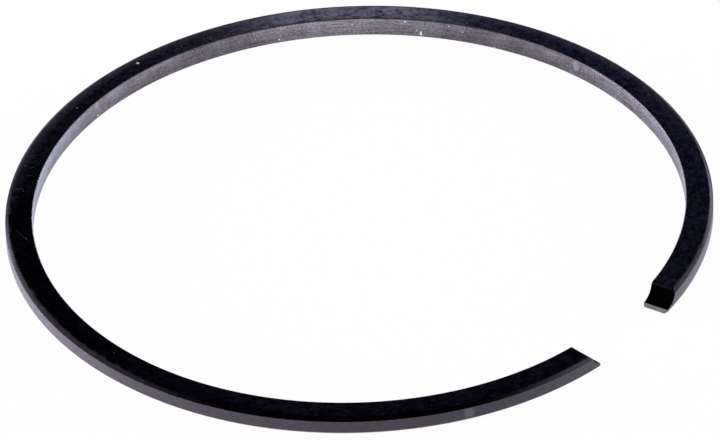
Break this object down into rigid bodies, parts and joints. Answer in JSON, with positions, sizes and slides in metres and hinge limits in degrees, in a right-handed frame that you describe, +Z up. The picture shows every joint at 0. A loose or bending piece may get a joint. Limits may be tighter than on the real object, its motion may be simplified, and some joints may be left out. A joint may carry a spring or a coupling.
{
  "type": "piston ring",
  "caption": "Thin split piston ring, sprung open, with chamfered running edges and a rounded seat for a locating pin in each end.",
  "frame": {"origin": "middle of the ring's envelope, on its lower side face", "axes": "+Z up along the ring's axis, towards the side with the pin seats; the end gap faces -Y"},
  "size_m": [0.0518, 0.0505, 0.0015],
  "materials": {
    "ring": "satin"
  },
  "bodies": {
    "root": {"ring": "ring"}
  },
  "joints": []
}
